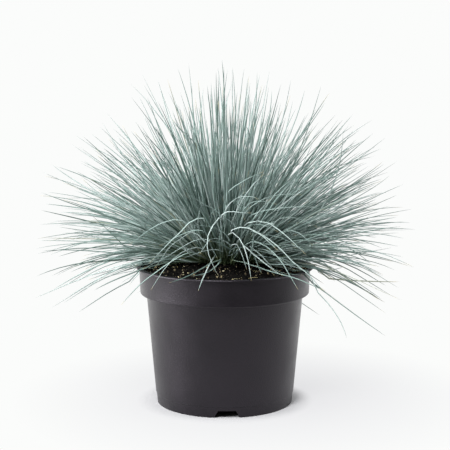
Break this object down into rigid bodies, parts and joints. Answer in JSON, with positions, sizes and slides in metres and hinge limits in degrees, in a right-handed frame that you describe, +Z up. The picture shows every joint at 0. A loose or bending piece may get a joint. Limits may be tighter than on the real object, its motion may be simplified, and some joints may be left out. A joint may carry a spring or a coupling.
{
  "type": "potted blue fescue clump",
  "caption": "Domed clump of arching blue-grey needle leaves growing in a round charcoal plastic nursery pot filled with potting mix.",
  "frame": {"origin": "on the pot's axis, at the level of the foot that the pot stands on; the clump's box is centred there to within 3 mm", "axes": "+Z up, from the foot towards the leaves; -Y is the open front, where the leaves part above the soil and one foot notch shows; +X is to the right seen from the front"},
  "size_m": [0.3556, 0.3552, 0.3173],
  "materials": {
    "pot_plastic": "injection-moulded polypropylene, matt charcoal with a soft sheen",
    "potting_mix": "damp, dark peat and bark mix with pale wood chips",
    "fescue_leaf": "living leaf with a waxy blue-grey bloom"
  },
  "bodies": {
    "root": {"arching_tuft_01": "fescue_leaf", "arching_tuft_02": "fescue_leaf", "arching_tuft_03": "fescue_leaf", "arching_tuft_04": "fescue_leaf", "arching_tuft_05": "fescue_leaf", "arching_tuft_06": "fescue_leaf", "arching_tuft_07": "fescue_leaf", "arching_tuft_08": "fescue_leaf", "arching_tuft_09": "fescue_leaf", "arching_tuft_10": "fescue_leaf", "arching_tuft_11": "fescue_leaf", "arching_tuft_12": "fescue_leaf", "arching_tuft_13": "fescue_leaf", "arching_tuft_14": "fescue_leaf", "arching_tuft_15": "fescue_leaf", "arching_tuft_16": "fescue_leaf", "arching_tuft_17": "fescue_leaf", "leaning_tuft_01": "fescue_leaf", "leaning_tuft_02": "fescue_leaf", "leaning_tuft_03": "fescue_leaf", "leaning_tuft_04": "fescue_leaf", "leaning_tuft_05": "fescue_leaf", "leaning_tuft_06": "fescue_leaf", "leaning_tuft_07": "fescue_leaf", "leaning_tuft_08": "fescue_leaf", "leaning_tuft_09": "fescue_leaf", "leaning_tuft_10": "fescue_leaf", "leaning_tuft_11": "fescue_leaf", "leaning_tuft_12": "fescue_leaf", "leaning_tuft_13": "fescue_leaf", "leaning_tuft_14": "fescue_leaf", "leaning_tuft_15": "fescue_leaf", "leaning_tuft_16": "fescue_leaf", "leaning_tuft_17": "fescue_leaf", "leaning_tuft_18": "fescue_leaf", "leaning_tuft_19": "fescue_leaf", "leaning_tuft_20": "fescue_leaf", "leaning_tuft_21": "fescue_leaf", "leaning_tuft_22": "fescue_leaf", "leaning_tuft_23": "fescue_leaf", "leaning_tuft_24": "fescue_leaf", "leaning_tuft_25": "fescue_leaf", "pot": "pot_plastic", "soil": "potting_mix", "upright_tuft_01": "fescue_leaf", "upright_tuft_02": "fescue_leaf", "upright_tuft_03": "fescue_leaf", "upright_tuft_04": "fescue_leaf", "upright_tuft_05": "fescue_leaf", "upright_tuft_06": "fescue_leaf", "upright_tuft_07": "fescue_leaf", "upright_tuft_08": "fescue_leaf", "upright_tuft_09": "fescue_leaf", "upright_tuft_10": "fescue_leaf", "upright_tuft_11": "fescue_leaf", "upright_tuft_12": "fescue_leaf"}
  },
  "joints": []
}
